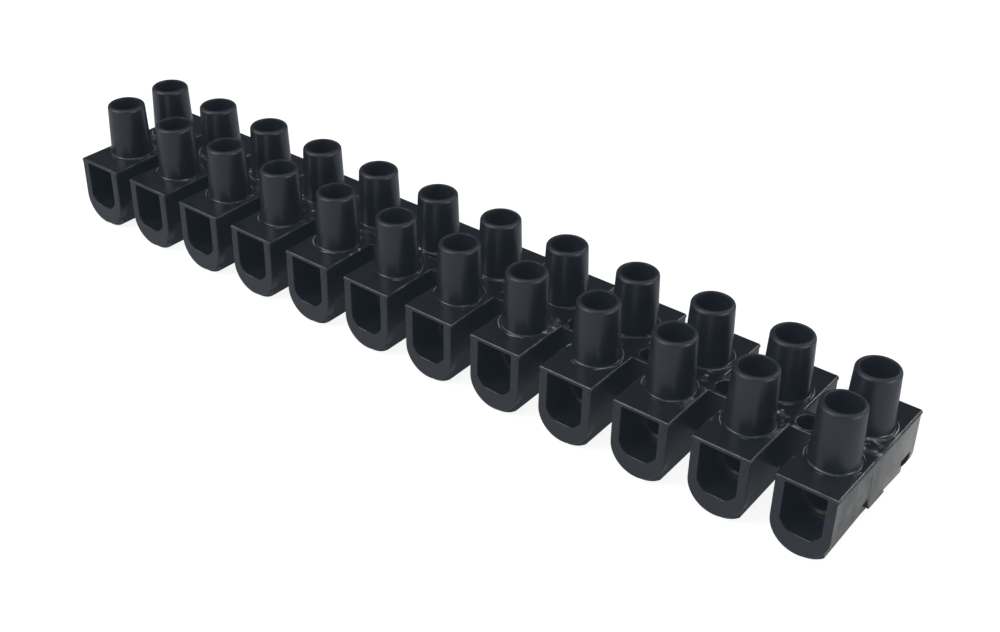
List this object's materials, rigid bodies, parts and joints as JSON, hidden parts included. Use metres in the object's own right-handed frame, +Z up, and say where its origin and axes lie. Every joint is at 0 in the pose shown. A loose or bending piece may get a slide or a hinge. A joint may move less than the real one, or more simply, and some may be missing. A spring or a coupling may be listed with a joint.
{
  "type": "terminal strip",
  "caption": "Long black moulded terminal strip: a row of ways with screw turrets over brass inserts, wire mouths at both sides and fixing holes in the webs.",
  "frame": {"origin": "on the surface that the strip lies on, under the middle of the row", "axes": "+X along the row, +Y through the ways from the front mouths to the back ones, +Z up along the turrets"},
  "size_m": [0.1414, 0.0238, 0.0203],
  "materials": {
    "housing": "satin black moulded plastic",
    "insert": "drilled bright brass",
    "screw": "zinc plated steel"
  },
  "bodies": {
    "strip": {"housing": "housing", "insert_01": "insert", "insert_02": "insert", "insert_03": "insert", "insert_04": "insert", "insert_05": "insert", "insert_06": "insert", "insert_07": "insert", "insert_08": "insert", "insert_09": "insert", "insert_10": "insert", "insert_11": "insert", "insert_12": "insert"},
    "screw_01_front": {"screw_01_front": "screw"},
    "screw_01_back": {"screw_01_back": "screw"},
    "screw_02_front": {"screw_02_front": "screw"},
    "screw_02_back": {"screw_02_back": "screw"},
    "screw_03_front": {"screw_03_front": "screw"},
    "screw_03_back": {"screw_03_back": "screw"},
    "screw_04_front": {"screw_04_front": "screw"},
    "screw_04_back": {"screw_04_back": "screw"},
    "screw_05_front": {"screw_05_front": "screw"},
    "screw_05_back": {"screw_05_back": "screw"},
    "screw_06_front": {"screw_06_front": "screw"},
    "screw_06_back": {"screw_06_back": "screw"},
    "screw_07_front": {"screw_07_front": "screw"},
    "screw_07_back": {"screw_07_back": "screw"},
    "screw_08_front": {"screw_08_front": "screw"},
    "screw_08_back": {"screw_08_back": "screw"},
    "screw_09_front": {"screw_09_front": "screw"},
    "screw_09_back": {"screw_09_back": "screw"},
    "screw_10_front": {"screw_10_front": "screw"},
    "screw_10_back": {"screw_10_back": "screw"},
    "screw_11_front": {"screw_11_front": "screw"},
    "screw_11_back": {"screw_11_back": "screw"},
    "screw_12_front": {"screw_12_front": "screw"},
    "screw_12_back": {"screw_12_back": "screw"}
  },
  "joints": [
    {"name": "screw_01_front_travel", "type": "slide", "parent": "strip", "child": "screw_01_front", "axis": [0, 0, -1], "range_m": [0, 0.0028]},
    {"name": "screw_01_back_travel", "type": "slide", "parent": "strip", "child": "screw_01_back", "axis": [0, 0, -1], "range_m": [0, 0.0028]},
    {"name": "screw_02_front_travel", "type": "slide", "parent": "strip", "child": "screw_02_front", "axis": [0, 0, -1], "range_m": [0, 0.0028]},
    {"name": "screw_02_back_travel", "type": "slide", "parent": "strip", "child": "screw_02_back", "axis": [0, 0, -1], "range_m": [0, 0.0028]},
    {"name": "screw_03_front_travel", "type": "slide", "parent": "strip", "child": "screw_03_front", "axis": [0, 0, -1], "range_m": [0, 0.0028]},
    {"name": "screw_03_back_travel", "type": "slide", "parent": "strip", "child": "screw_03_back", "axis": [0, 0, -1], "range_m": [0, 0.0028]},
    {"name": "screw_04_front_travel", "type": "slide", "parent": "strip", "child": "screw_04_front", "axis": [0, 0, -1], "range_m": [0, 0.0028]},
    {"name": "screw_04_back_travel", "type": "slide", "parent": "strip", "child": "screw_04_back", "axis": [0, 0, -1], "range_m": [0, 0.0028]},
    {"name": "screw_05_front_travel", "type": "slide", "parent": "strip", "child": "screw_05_front", "axis": [0, 0, -1], "range_m": [0, 0.0028]},
    {"name": "screw_05_back_travel", "type": "slide", "parent": "strip", "child": "screw_05_back", "axis": [0, 0, -1], "range_m": [0, 0.0028]},
    {"name": "screw_06_front_travel", "type": "slide", "parent": "strip", "child": "screw_06_front", "axis": [0, 0, -1], "range_m": [0, 0.0028]},
    {"name": "screw_06_back_travel", "type": "slide", "parent": "strip", "child": "screw_06_back", "axis": [0, 0, -1], "range_m": [0, 0.0028]},
    {"name": "screw_07_front_travel", "type": "slide", "parent": "strip", "child": "screw_07_front", "axis": [0, 0, -1], "range_m": [0, 0.0028]},
    {"name": "screw_07_back_travel", "type": "slide", "parent": "strip", "child": "screw_07_back", "axis": [0, 0, -1], "range_m": [0, 0.0028]},
    {"name": "screw_08_front_travel", "type": "slide", "parent": "strip", "child": "screw_08_front", "axis": [0, 0, -1], "range_m": [0, 0.0028]},
    {"name": "screw_08_back_travel", "type": "slide", "parent": "strip", "child": "screw_08_back", "axis": [0, 0, -1], "range_m": [0, 0.0028]},
    {"name": "screw_09_front_travel", "type": "slide", "parent": "strip", "child": "screw_09_front", "axis": [0, 0, -1], "range_m": [0, 0.0028]},
    {"name": "screw_09_back_travel", "type": "slide", "parent": "strip", "child": "screw_09_back", "axis": [0, 0, -1], "range_m": [0, 0.0028]},
    {"name": "screw_10_front_travel", "type": "slide", "parent": "strip", "child": "screw_10_front", "axis": [0, 0, -1], "range_m": [0, 0.0028]},
    {"name": "screw_10_back_travel", "type": "slide", "parent": "strip", "child": "screw_10_back", "axis": [0, 0, -1], "range_m": [0, 0.0028]},
    {"name": "screw_11_front_travel", "type": "slide", "parent": "strip", "child": "screw_11_front", "axis": [0, 0, -1], "range_m": [0, 0.0028]},
    {"name": "screw_11_back_travel", "type": "slide", "parent": "strip", "child": "screw_11_back", "axis": [0, 0, -1], "range_m": [0, 0.0028]},
    {"name": "screw_12_front_travel", "type": "slide", "parent": "strip", "child": "screw_12_front", "axis": [0, 0, -1], "range_m": [0, 0.0028]},
    {"name": "screw_12_back_travel", "type": "slide", "parent": "strip", "child": "screw_12_back", "axis": [0, 0, -1], "range_m": [0, 0.0028]}
  ]
}
